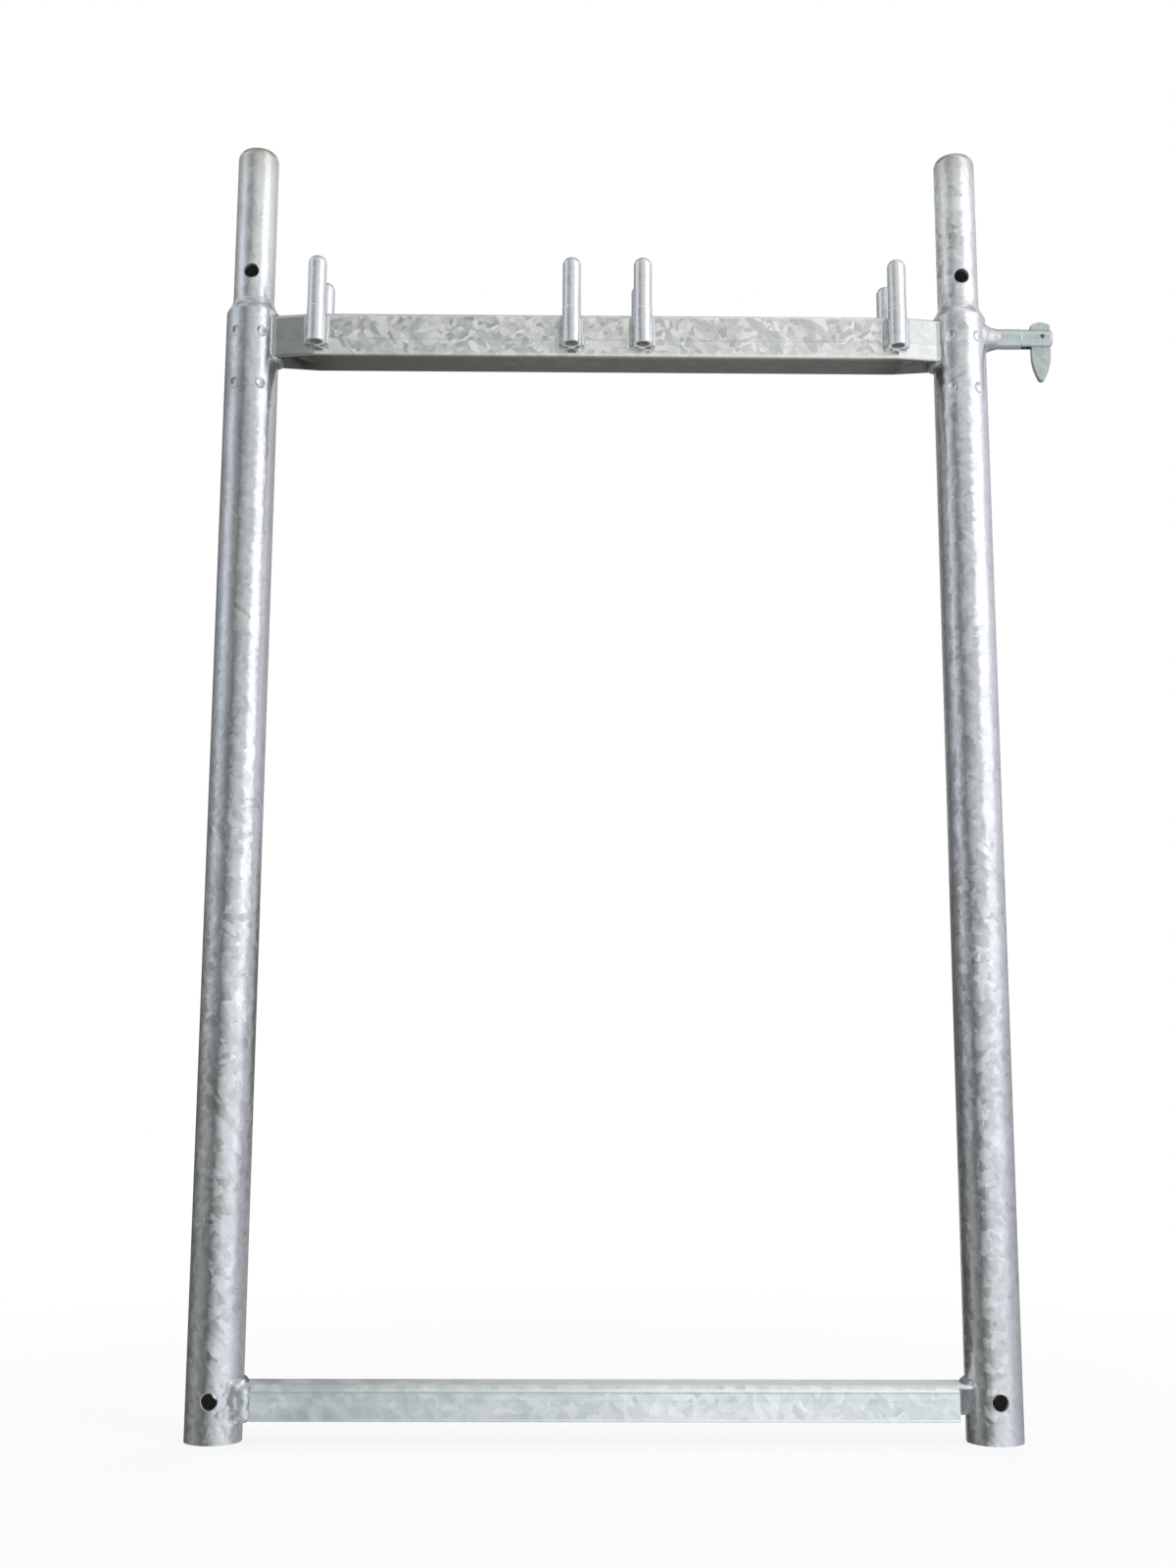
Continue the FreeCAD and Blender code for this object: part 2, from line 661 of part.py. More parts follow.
# Bolt weld: a collar round the bolt's root, taller than it is wide because the post curves away.
def make_bolt_weld(bolt):
    axis = size("sizes.post_spacing / 2")
    level = size("sizes.post_length - sizes.bolt_drop")
    bar_radius = size("sizes.bolt_diameter / 2")
    post_radius = size("sizes.post_diameter / 2")
    length = size("sizes.bolt_weld_length")
    along = vector(1, 0, 0)
    root = vector(axis + post_radius - length, 0, level)
    toe = vector(axis + post_radius + length, 0, level)
    half_height = bar_radius + size("sizes.bolt_weld_rise")
    half_width = bar_radius + size("sizes.bolt_weld_spread")
    oval = Part.Ellipse(root + vector(0, 0, half_height), root + vector(0, half_width, 0), root).toShape()
    circle = Part.Circle(toe, along, bar_radius).toShape()
    collar = Part.makeLoft([Part.Wire(oval), Part.Wire(circle)], True, True)
    feature = document.addObject("Part::Feature", "bolt_weld_collar")
    feature.Shape = collar.cut(post_fill[RIGHT].Shape).cut(bolt.Shape)
    keep(feature, "guardrail_bolt_weld")


# Latch flap: a plate that hangs from its sleeve in the bolt's slot. It is just narrow enough to lie within
# the round outline of the bolt's shank when it is raised in line with it.
PIVOT_X = "sizes.post_spacing / 2 + sizes.bolt_reach - sizes.latch_setback"
PIVOT_Z = "sizes.post_length - sizes.bolt_drop"


def make_latch():
    body = new_body("latch_plate")
    bind(body, Placement__Base__x=PIVOT_X, Placement__Base__z=PIVOT_Z)
    inner = "-sizes.latch_width / 2"
    outer = "sizes.latch_width / 2"
    tip_inner = "-sizes.latch_tip_width / 2"
    tip_outer = "sizes.latch_tip_width / 2"
    outline = new_sketch(body, "latch_outline", "XZ_Plane")
    draw_outline(outline, [
        (outer, "-sizes.latch_flank"),
        (outer, "sizes.latch_heel", "sizes.latch_crown_radius"),
        (inner, "sizes.latch_heel"),
        (inner, "-sizes.latch_flank", "sizes.latch_flank_radius"),
        (tip_inner, "-sizes.latch_drop", "sizes.latch_tip_radius"),
        (tip_outer, "-sizes.latch_drop", "sizes.latch_flank_radius"),
    ])
    pad(body, outline, "sizes.latch_thickness")
    hole = new_sketch(body, "latch_hole", "XZ_Plane")
    draw_circle(hole, "0", "0", "sizes.latch_pin_diameter + 2 * sizes.latch_clearance")
    cut_through(body, hole)
    keep(body, "latch_flap")


# Latch sleeve: a slit spring pin pressed into the bolt's cross hole. The flap turns on it.
def make_latch_sleeve():
    body = new_body("latch_sleeve_ring")
    bind(body, Placement__Base__x=PIVOT_X, Placement__Base__z=PIVOT_Z)
    ring = new_sketch(body, "latch_sleeve_section", "XZ_Plane")
    draw_circle(ring, "0", "0", "sizes.latch_pin_diameter")
    draw_circle(ring, "0", "0", "sizes.latch_pin_diameter - 2 * sizes.latch_pin_wall")
    pad(body, ring, "sqrt(sizes.bolt_head_diameter ^ 2 - sizes.latch_pin_diameter ^ 2)")
    slit = new_sketch(body, "latch_sleeve_slit", "XZ_Plane")
    draw_outline(slit, [
        ("-sizes.latch_pin_slit / 2", "-sizes.latch_pin_diameter"),
        ("sizes.latch_pin_slit / 2", "-sizes.latch_pin_diameter"),
        ("sizes.latch_pin_slit / 2", "0"),
        ("-sizes.latch_pin_slit / 2", "0"),
    ])
    cut_through(body, slit)
    keep(body, "latch_sleeve")


for side in (LEFT, RIGHT):
    make_post(side)
    make_spigot(side)
make_transom()
document.recompute()
for side in (LEFT, RIGHT):
    make_transom_weld(side)
for row in (FRONT, REAR):
    for number, station in enumerate(pin_stations(), start=1):
        make_deck_pin(row, number, station)
        make_deck_pin_weld(row, number, station)
bottom_rail = make_rail()
document.recompute()
for side in (LEFT, RIGHT):
    make_rail_weld(side, bottom_rail)
bolt = make_bolt()
document.recompute()
make_bolt_weld(bolt)
make_latch()
make_latch_sleeve()
document.recompute()

failed = [item.Name for item in document.Objects if {"Invalid", "Error"} & set(item.State)]
for item in nodes:
    if item.Shape.isNull() or not item.Shape.isValid() or not item.Shape.Solids:
        failed.append(item.Label)
if failed:
    raise RuntimeError("failed: " + ", ".join(failed))

os.makedirs("parts", exist_ok=True)
for item in nodes:
    item.Shape.exportStep(f"parts/{item.Label}.step")
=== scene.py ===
import math

import bpy
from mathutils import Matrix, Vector


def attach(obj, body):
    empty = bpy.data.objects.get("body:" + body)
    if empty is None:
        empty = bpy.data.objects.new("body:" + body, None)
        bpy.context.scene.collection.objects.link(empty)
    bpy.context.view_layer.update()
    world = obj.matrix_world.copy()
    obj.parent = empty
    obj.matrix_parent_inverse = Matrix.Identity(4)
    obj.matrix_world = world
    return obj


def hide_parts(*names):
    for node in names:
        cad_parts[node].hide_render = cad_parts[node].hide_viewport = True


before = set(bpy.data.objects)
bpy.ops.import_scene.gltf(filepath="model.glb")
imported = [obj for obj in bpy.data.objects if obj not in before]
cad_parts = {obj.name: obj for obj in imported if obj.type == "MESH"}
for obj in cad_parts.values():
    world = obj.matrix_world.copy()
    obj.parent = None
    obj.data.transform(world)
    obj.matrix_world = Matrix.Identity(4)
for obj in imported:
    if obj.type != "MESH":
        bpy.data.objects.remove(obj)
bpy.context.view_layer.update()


# Posts: two drawn steel tubes with plain-cut feet, hot-dip galvanised after welding. The zinc ran smooth
# and bright in their upper half and froze in dull, slanting flakes lower down, most on the right post.
def add_node(material, kind, **settings):
    node = material.node_tree.nodes.new(kind)
    for key, value in settings.items():
        setattr(node, key, value)
    return node


def plug(material, source, socket):
    """Feeds a socket from another socket, or gives it a plain value."""
    if isinstance(source, bpy.types.NodeSocket):
        material.node_tree.links.new(source, socket)
    else:
        socket.default_value = source


def calc(material, operation, *values, clamp=False):
    node = add_node(material, "ShaderNodeMath", operation=operation, use_clamp=clamp)
    for value, socket in zip(values, node.inputs):
        plug(material, value, socket)
    return node.outputs[0]


def vector_calc(material, operation, *values):
    node = add_node(material, "ShaderNodeVectorMath", operation=operation)
    for value, socket in zip(values, node.inputs):
        plug(material, value, socket)
    return node.outputs["Value" if operation == "LENGTH" else "Vector"]


def split(material, vector):
    node = add_node(material, "ShaderNodeSeparateXYZ")
    plug(material, vector, node.inputs["Vector"])
    return node.outputs["X"], node.outputs["Y"], node.outputs["Z"]


def fade(material, value, start, end, low=0.0, high=1.0):
    """Smooth change from low to high while the value goes from start to end."""
    node = add_node(material, "ShaderNodeMapRange", interpolation_type="SMOOTHSTEP")
    plug(material, value, node.inputs["Value"])
    for name, number in (("From Min", start), ("From Max", end), ("To Min", low), ("To Max", high)):
        plug(material, number, node.inputs[name])
    return node.outputs["Result"]


def mix_colours(material, share, first, second):
    node = add_node(material, "ShaderNodeMix", data_type="RGBA")
    plug(material, share, node.inputs["Factor"])
    plug(material, first, node.inputs[6])
    plug(material, second, node.inputs[7])
    return node.outputs[2]


def noise(material, place, scale, detail):
    node = add_node(material, "ShaderNodeTexNoise")
    plug(material, place, node.inputs["Vector"])
    node.inputs["Scale"].default_value = scale
    node.inputs["Detail"].default_value = detail
    return node


def cells(material, place, size):
    node = add_node(material, "ShaderNodeTexVoronoi")
    plug(material, place, node.inputs["Vector"])
    node.inputs["Scale"].default_value = 1 / size
    return node


NOISE_MIDDLE = (0.5, 0.5, 0.5)


def wander(material, place, scale, reach):
    """Places pushed about by noise."""
    push = noise(material, place, scale, 1.0).outputs["Color"]
    push = vector_calc(material, "SUBTRACT", push, NOISE_MIDDLE)
    return vector_calc(material, "ADD", place, vector_calc(material, "MULTIPLY", push, (reach,) * 3))


def shards(material, place, size, turn, stretch):
    """Random colours on crystals that are drawn out along a turned upright axis."""
    node = add_node(material, "ShaderNodeMapping", vector_type="TEXTURE")
    plug(material, place, node.inputs["Vector"])
    node.inputs["Rotation"].default_value = turn
    node.inputs["Scale"].default_value = (1, 1, stretch)
    return cells(material, node.outputs["Vector"], size).outputs["Color"]


SLANTING_TURN = (0.0, -0.75, 0.0)
CROSSING_TURN = (0.4, 0.9, 0.3)
DULL_INSIDE = (0.40, 0.40, 0.39)


def galvanised(name, dark, pale, crystal, fleck, lean, smooth, dull, swell, flaky, ragged=0.9, metal=1.0,
               stains_and_painted_light=(), hollow=None):
    """Zinc coat between a dark and a pale colour. Its crystals are flat shards with frayed borders, each
    with a tone and a lean of its own, on a cloudy ground that swells slowly. flaky is the share of it that
    froze in crystals: a number, or a function that returns a socket. stains_and_painted_light are pairs of
    a function that says where, and a colour: real stains, painted highlights and painted shade. hollow says
    where the coat lies inside a tube and hardly shines."""
    material = bpy.data.materials.new(name)
    material.use_nodes = True
    shader = material.node_tree.nodes["Principled BSDF"]
    place = add_node(material, "ShaderNodeTexCoord").outputs["Object"]
    if callable(flaky):
        flaky = flaky(material, place)

    # Crystals that lean two ways grow in patches. Their borders wander, and fray in a finer step.
    grown = wander(material, place, 0.6 / crystal, ragged * crystal)
    grown = wander(material, grown, 6.0 / crystal, 0.35 * crystal)
    slanting = shards(material, grown, crystal, SLANTING_TURN, stretch=2.2)
    crossing = shards(material, grown, 0.8 * crystal, CROSSING_TURN, stretch=1.6)
    patch = split(material, cells(material, grown, 2.4 * crystal).outputs["Color"])[0]
    own = mix_colours(material, calc(material, "GREATER_THAN", patch, 0.55), slanting, crossing)
    red, green, blue = split(material, own)

    # Each crystal has its own tone, a few are bright or dark, and clouds of two sizes lie over them all.
    tone = calc(material, "MULTIPLY_ADD", red, 0.5, -0.25)
    bright_few = fade(material, green, 0.82, 0.95)
    tone = calc(material, "MULTIPLY_ADD", bright_few, 0.30, tone)
    dark_few = fade(material, blue, 0.14, 0.05)
    tone = calc(material, "MULTIPLY_ADD", dark_few, -0.35, tone)
    tone = calc(material, "MULTIPLY", tone, calc(material, "MULTIPLY", flaky, fleck))
    for scale, depth in ((0.12 / crystal, 0.8), (1.6 / crystal, 0.5)):
        cloud = calc(material, "SUBTRACT", noise(material, place, scale, 3.0).outputs["Fac"], 0.5)
        tone = calc(material, "MULTIPLY_ADD", cloud, depth, tone)
    tone = calc(material, "ADD", tone, 0.5, clamp=True)
    colour = mix_colours(material, tone, (*dark, 1), (*pale, 1))
    # Stains, painted highlights and painted shade are laid over the colour.
    for overlay_where, overlay_colour in stains_and_painted_light:
        colour = mix_colours(material, overlay_where(material, place), colour, (*overlay_colour, 1))
    if hollow:
        hidden = hollow(material, place)
        colour = mix_colours(material, hidden, colour, (*DULL_INSIDE, 1))
        metal = calc(material, "MULTIPLY_ADD", hidden, -0.9 * metal, metal)
    plug(material, colour, shader.inputs["Base Color"])
    plug(material, metal, shader.inputs["Metallic"])

    # Crystals are dull, a little more or less each, and the zinc between them is smooth.
    uneven = calc(material, "MULTIPLY_ADD", green, 0.10, dull - smooth - 0.05)
    plug(material, calc(material, "MULTIPLY_ADD", uneven, flaky, smooth), shader.inputs["Roughness"])

    # The coat swells in long, upright waves, and each crystal leans its own way on them.
    drawn_out = vector_calc(material, "MULTIPLY", place, (1.0, 1.0, 0.5))
    bump = add_node(material, "ShaderNodeBump")
    bump.inputs["Distance"].default_value = swell
    plug(material, noise(material, drawn_out, 60.0, 2.0).outputs["Fac"], bump.inputs["Height"])
    reach = calc(material, "MULTIPLY", flaky, lean)
    spread = add_node(material, "ShaderNodeCombineXYZ")
    for socket in spread.inputs:
        plug(material, reach, socket)
    tilt = vector_calc(material, "SUBTRACT", own, NOISE_MIDDLE)
    tilt = vector_calc(material, "MULTIPLY", tilt, spread.outputs["Vector"])
    leaning = vector_calc(material, "ADD", bump.outputs["Normal"], tilt)
    plug(material, vector_calc(material, "NORMALIZE", leaning), shader.inputs["Normal"])
    return material


POST_AXIS = 0.3285
POST_RADIUS = 0.02415
POST_BORE = (0.0211, 0.0216)


def left_to_right(material, place, left, right):
    """One value on the left half of the frame, another on the right half."""
    return fade(material, split(material, place)[0], -0.1, 0.1, left, right)


def flakier_below(material, place):
    """Flaky towards the foot of a post, smoother towards its top, with a broken change between. The right
    post stays flakier than the left one."""
    patches = noise(material, place, 16.0, 3.0).outputs["Fac"]
    level = calc(material, "MULTIPLY_ADD", patches, 0.6, split(material, place)[2])
    return fade(material, level, 0.5, 1.2, 1.0, left_to_right(material, place, 0.4, 0.6))


def fold(material, value, middle):
    """Distance to the nearer of two middles, one on each side of zero."""
    return calc(material, "SUBTRACT", calc(material, "ABSOLUTE", value), middle)


def from_axis(material, across, depth):
    node = add_node(material, "ShaderNodeCombineXYZ")
    plug(material, across, node.inputs["X"])
    plug(material, depth, node.inputs["Y"])
    return vector_calc(material, "LENGTH", node.outputs["Vector"])


def inside_upright(material, place, bore):
    """The inner face of both upright tubes. It ends between the two radii of the bore."""
    across, depth, _ = split(material, place)
    reach = from_axis(material, fold(material, across, POST_AXIS), depth)
    return fade(material, reach, *bore, 1.0, 0.0)


def inside_post(material, place):
    return inside_upright(material, place, POST_BORE)


def dress(material, *names):
    """Gives CAD nodes their finish."""
    for name in names:
        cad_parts[name].material_slots[0].material = material


post_zinc = galvanised(
    "post_zinc", dark=(0.58, 0.59, 0.60), pale=(0.93, 0.94, 0.96), crystal=0.006, fleck=0.85, lean=0.16,
    smooth=0.20, dull=0.27, swell=0.0007, flaky=flakier_below, hollow=inside_post,
)
dress(post_zinc, "left_post", "right_post")


# Spigots: shorter tubes with rolled-in noses, pressed into the posts and crimped there. Their zinc is smooth
# on the left one and froze in flakes on the right one, and both noses are browner.
SPIGOT_RADIUS = 0.0187
SPIGOT_BORE = (0.0156, 0.0162)
BROWNER_HEIGHTS = (1.12, 1.16)


def inside_spigot(material, place):
    return inside_upright(material, place, SPIGOT_BORE)


def flakier_right(material, place):
    return left_to_right(material, place, 0.35, 0.85)


# Browner towards the top of both noses.
def browner_on_nose(material, place):
    return fade(material, split(material, place)[2], *BROWNER_HEIGHTS, 0.0, 0.7)


spigot_zinc = galvanised(
    "spigot_zinc", dark=(0.66, 0.67, 0.67), pale=(0.96, 0.97, 0.98), crystal=0.006, fleck=0.9, lean=0.16,
    smooth=0.20, dull=0.26, swell=0.0006, flaky=flakier_right, hollow=inside_spigot,
    stains_and_painted_light=[(browner_on_nose, (0.58, 0.56, 0.50))],
)
dress(spigot_zinc, "left_spigot", "right_spigot")


# Shoulders: where a spigot comes out of its post, the zinc filled the step and froze in a soft, hollow
# shoulder. It is a turned ring, set into both tubes.
ROUND = 96
MERGE = 1e-6
VOXEL = 0.0007
SIDES = (("left", -POST_AXIS), ("right", POST_AXIS))


def turned_ring(name, middle, axis, profile):
    """Ring about an axis. The profile goes once round its section, by radius and place along the axis."""
    across_axis = [1 - part for part in axis]
    at = [Vector(middle) + Vector(axis) * along for _, along in profile]
    bpy.ops.object.select_all(action="DESELECT")
    bpy.ops.mesh.primitive_circle_add(vertices=ROUND, radius=profile[0][0], location=at[0],
                                      rotation=(0, math.pi / 2 * axis[0], 0))
    ring = bpy.context.active_object
    ring.name = name
    bpy.ops.object.transform_apply(location=True, rotation=True, scale=True)
    bpy.ops.object.mode_set(mode="EDIT")
    bpy.ops.mesh.select_all(action="SELECT")
    for step in range(len(profile)):
        ahead = (step + 1) % len(profile)
        grow = profile[ahead][0] / profile[step][0] - 1
        bpy.ops.mesh.extrude_region_move(TRANSFORM_OT_translate={"value": at[ahead] - at[step]})
        bpy.ops.transform.resize(value=[1 + grow * part for part in across_axis], center_override=at[ahead])
    bpy.ops.mesh.select_all(action="SELECT")
    bpy.ops.mesh.remove_doubles(threshold=MERGE)
    bpy.ops.mesh.normals_make_consistent(inside=False)
    bpy.ops.object.mode_set(mode="OBJECT")
    return ring


zinc_lumps = bpy.data.textures.new("zinc_lumps", "CLOUDS")
zinc_lumps.noise_scale = 0.009
zinc_lumps.noise_depth = 1


def melt(piece, rounding, lumps, material):
    """Turns a piece into metal that ran: one skin, rounded off, with lumps of about the given height."""
    for kind, settings in (
        ("REMESH", {"mode": "VOXEL", "voxel_size": VOXEL}),
        ("SMOOTH", {"factor": 0.5, "iterations": rounding}),
        ("DISPLACE", {"texture": zinc_lumps, "strength": 3 * lumps, "mid_level": 0.45}),
        ("SMOOTH", {"factor": 0.5, "iterations": 8}),
    ):
        modifier = piece.modifiers.new(kind.lower(), kind)
        for key, value in settings.items():
            setattr(modifier, key, value)
        bpy.ops.object.modifier_apply(modifier=modifier.name)
    bpy.ops.object.shade_smooth()
    piece.data.materials.clear()
    piece.data.materials.append(material)
    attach(piece, "frame")


SHOULDER = [
    (0.0230, 0.990), (0.0237, 0.993), (0.0239, 0.9965), (0.0237, 0.9985), (0.0228, 1.0008), (0.0215, 1.0028),
    (0.0204, 1.0047), (0.0196, 1.0067), (0.0190, 1.009), (0.0186, 1.012), (0.0168, 1.012), (0.0168, 0.996),
    (0.0220, 0.996), (0.0220, 0.990),
]
shoulder_zinc = galvanised(
    "shoulder_zinc", dark=(0.60, 0.61, 0.62), pale=(0.92, 0.93, 0.95), crystal=0.006, fleck=0.7, lean=0.12,
    smooth=0.20, dull=0.26, swell=0.0006, flaky=0.45,
)
for side, across in SIDES:
    shoulder = turned_ring(f"{side}_shoulder", (across, 0, 0), (0, 0, 1), SHOULDER)
    melt(shoulder, rounding=8, lumps=0.0001, material=shoulder_zinc)


# Locking holes: punched through the tubes before galvanising, so the zinc stands round each of them in
# a thin raised lip. The lip is a ring bent to the round face of its tube.
FOOT_HOLE = 0.035
SPIGOT_HOLE = 1.035
LIP_RADIUS = 0.0073
LIP_THICKNESS = 0.0006
lip_zinc = galvanised(
    "lip_zinc", dark=(0.58, 0.59, 0.61), pale=(0.84, 0.85, 0.87), crystal=0.003, fleck=0.8, lean=0.3,
    smooth=0.3, dull=0.36, swell=0.0002, flaky=0.6,
)
for tube, tube_radius, hole in (("post", POST_RADIUS, FOOT_HOLE), ("spigot", SPIGOT_RADIUS, SPIGOT_HOLE)):
    bpy.ops.object.select_all(action="DESELECT")
    bpy.ops.mesh.primitive_torus_add(major_radius=LIP_RADIUS, minor_radius=LIP_THICKNESS, major_segments=64,
                                     minor_segments=10, rotation=(math.pi / 2, 0, 0))
    lip = bpy.context.active_object
    bpy.ops.object.transform_apply(location=True, rotation=True, scale=True)
    bend = lip.modifiers.new("bend", "SIMPLE_DEFORM")
    bend.deform_method = "BEND"
    bend.deform_axis = "Z"
    bend.angle = 2 * (LIP_RADIUS + LIP_THICKNESS) / tube_radius
    bpy.ops.object.modifier_apply(modifier=bend.name)
    bpy.ops.object.shade_smooth()
    lip.data.materials.append(lip_zinc)
    bpy.ops.transform.translate(value=(0, -tube_radius, 0))
    bpy.ops.object.transform_apply(location=True, rotation=True, scale=True)
    for side, across in SIDES:
        for facing, turn in (("front", 0.0), ("rear", math.pi)):
            bpy.ops.object.select_all(action="DESELECT")
            placed = bpy.data.objects.new(f"{side}_{tube}_lip_{facing}", lip.data.copy())
            bpy.context.scene.collection.objects.link(placed)
            placed.location = (across, 0, hole)
            placed.rotation_euler = (0, 0, turn)
            placed.select_set(True)
            bpy.context.view_layer.objects.active = placed
            bpy.ops.object.transform_apply(location=True, rotation=True, scale=True)
            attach(placed, "frame")
    bpy.data.objects.remove(lip)


# Top transom: a square tube with squeezed ends, welded between the posts. Its flat walls carry the clearest
# crystals of the frame, with a faint darker line at mid-height and paler below it. The ends and the
# underside froze smooth. Painted shade darkens the underside and greys the squeezed ends, and painted
# highlights run along the rounded long edges.
LOWER_EDGE = (0.953, 0.957)
MID_LINE_HEIGHT = 0.9688
MID_LINE_BORDER = (0.966, 0.973)
CRYSTALS_END = (0.255, 0.280)
GREY_FROM = (0.262, 0.285)
DARKEST_FROM = (0.235, 0.275)


def from_middle(material, place):
    """Distance to the middle of the frame, along it."""
    return calc(material, "ABSOLUTE", split(material, place)[0])


def upward(material):
    """How far a face looks up: 1 on top, 0 on a wall, -1 below."""
    return split(material, add_node(material, "ShaderNodeTexCoord").outputs["Normal"])[2]


def stripe(material, value, middle, reach, share=1.0):
    """Soft-edged stripe where the value is near a middle."""
    off = calc(material, "ABSOLUTE", calc(material, "SUBTRACT", value, middle))
    return fade(material, off, 0.4 * reach, reach, share, 0.0)


def crystals_on_walls(material, place):
    between_ends = fade(material, from_middle(material, place), *CRYSTALS_END, 1.0, 0.15)
    above_edge = fade(material, split(material, place)[2], *LOWER_EDGE, 0.2, 1.0)
    return calc(material, "MULTIPLY", between_ends, above_edge)


# Paler below a faint line at mid-height of the walls.
def paler_below_mid_line(material, place):
    return fade(material, split(material, place)[2], *MID_LINE_BORDER, 0.28, 0.0)


# A faint darker line at mid-height of the walls.
def mid_line(material, place):
    return stripe(material, split(material, place)[2], MID_LINE_HEIGHT, reach=0.0008, share=0.3)


def painted_edge_highlights(material, place):
    """Painted highlights along the rounded long edges of the tube."""
    facing = upward(material)
    lower = stripe(material, facing, -0.3, 0.3)
    upper = stripe(material, facing, 0.5, 0.4)
    return calc(material, "MAXIMUM", lower, upper)


def painted_shade_ends(material, place):
    """Painted shade on the squeezed ends, the left one more than the right one."""
    at_end = fade(material, from_middle(material, place), *GREY_FROM)
    return calc(material, "MULTIPLY", at_end, left_to_right(material, place, 0.42, 0.24))


def painted_shade_underside(material, place):
    """Painted shade on the lower face, darkest at its ends."""
    downward = fade(material, upward(material), -0.85, -0.5, 1.0, 0.0)
    darker = fade(material, from_middle(material, place), *DARKEST_FROM, 0.74, 0.96)
    return calc(material, "MULTIPLY", downward, darker)


transom_zinc = galvanised(
    "transom_zinc", dark=(0.69, 0.69, 0.66), pale=(1.0, 0.99, 0.96), crystal=0.0052, fleck=1.6, lean=0.22,
    smooth=0.22, dull=0.33, swell=0.0002, flaky=crystals_on_walls, ragged=0.4, metal=0.97,
    stains_and_painted_light=[
        (paler_below_mid_line, (1.0, 1.0, 0.97)),
        (mid_line, (0.50, 0.52, 0.50)),
        # Painted highlights on the rounded edges, painted shade on the ends and the underside.
        (painted_edge_highlights, (1.0, 1.0, 0.98)),
        (painted_shade_ends, (0.42, 0.46, 0.52)),
        (painted_shade_underside, (0.205, 0.208, 0.18)),
    ],
)
dress(transom_zinc, "top_transom")


# Transom welds: a bead all round each end of the transom, run by hand before the frame went into the
# bath. The zinc lies over it in soft, bright lumps.
weld_zinc = galvanised(
    "weld_zinc", dark=(0.48, 0.49, 0.51), pale=(0.74, 0.75, 0.77), crystal=0.004, fleck=0.6, lean=0.08,
    smooth=0.25, dull=0.31, swell=0.0002, flaky=0.5,
)


def lay_weld(node, rounding):
    """Puts laid metal in the place of a weld node."""
    bpy.ops.object.select_all(action="DESELECT")
    weld = bpy.data.objects.new(node + "_bead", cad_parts[node].data.copy())
    bpy.context.scene.collection.objects.link(weld)
    weld.select_set(True)
    bpy.context.view_layer.objects.active = weld
    bpy.ops.object.mode_set(mode="EDIT")
    bpy.ops.mesh.select_all(action="SELECT")
    bpy.ops.mesh.remove_doubles(threshold=MERGE)
    bpy.ops.object.mode_set(mode="OBJECT")
    melt(weld, rounding=rounding, lumps=0.0005, material=weld_zinc)
    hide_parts(node)


lay_weld("transom_weld_left", rounding=20)
lay_weld("transom_weld_right", rounding=20)


# Deck pins: round bars with turned noses, four on each face of the transom, each held by a bead down
# both its sides. Decks drop over them, so their zinc is thin and bright. Each is drilled from below.
PAIR_MIDDLE = 0.14925
PAIR_HALF = 0.11665
PIN_DEPTH = 0.02855
PIN_BORE = (0.0062, 0.0066)


def inside_pin(material, place):
    """The bores of all eight pins, which stand in two pairs on each face of the transom."""
    across, depth, _ = split(material, place)
    across = fold(material, fold(material, across, PAIR_MIDDLE), PAIR_HALF)
    reach = from_axis(material, across, fold(material, depth, PIN_DEPTH))
    return fade(material, reach, *PIN_BORE, 1.0, 0.0)


pin_zinc = galvanised(
    "pin_zinc", dark=(0.80, 0.81, 0.83), pale=(0.98, 0.98, 1.0), crystal=0.005, fleck=0.6, lean=0.14,
    smooth=0.24, dull=0.30, swell=0.0003, flaky=0.4, hollow=inside_pin,
)
for row in ("front", "rear"):
    for number in (1, 2, 3, 4):
        dress(pin_zinc, f"deck_pin_{row}_{number}")
        lay_weld(f"deck_pin_weld_{row}_{number}", rounding=9)


# Bottom rail: a folded sheet channel, notched round the posts and welded to them. Its zinc is matt and pale
# with fine shards. Painted shade greys it towards the left, painted highlights and painted shade run in
# lines along the fold and the lower edge, painted light brightens its top, and a faint darker line runs half
# way down the wall.
FOLD_SHINE = 0.0437
FOLD_LINE = 0.0417
MID_WALL_LINE = 0.0352
EDGE_SHINE = 0.0199
EDGE_LINE = 0.0185


def painted_highlight_lines(material, place):
    """Painted highlights along the fold, near the cut edge and on top."""
    up = split(material, place)[2]
    along_fold = stripe(material, up, FOLD_SHINE, reach=0.0011)
    along_edge = stripe(material, up, EDGE_SHINE, reach=0.0009, share=0.8)
    on_top = fade(material, upward(material), 0.90, 0.98, 0.0, 0.8)
    return calc(material, "MAXIMUM", calc(material, "MAXIMUM", along_fold, along_edge), on_top)


def painted_shade_and_mid_line(material, place):
    """Painted shade under the fold and at its cut edge, and a faint darker line half way down the wall."""
    up = split(material, place)[2]
    under_fold = stripe(material, up, FOLD_LINE, reach=0.0010, share=0.55)
    on_wall = stripe(material, up, MID_WALL_LINE, reach=0.0007, share=0.2)
    at_edge = stripe(material, up, EDGE_LINE, reach=0.0007, share=0.6)
    return calc(material, "MAXIMUM", calc(material, "MAXIMUM", under_fold, on_wall), at_edge)


def painted_shade_left(material, place):
    """Painted shade towards the left, in clouds."""
    clouds = fade(material, noise(material, place, 45.0, 3.0).outputs["Fac"], 0.35, 0.65, 0.45, 1.0)
    leftward = fade(material, split(material, place)[0], -0.32, 0.10, 0.85, 0.0)
    return calc(material, "MULTIPLY", clouds, leftward)


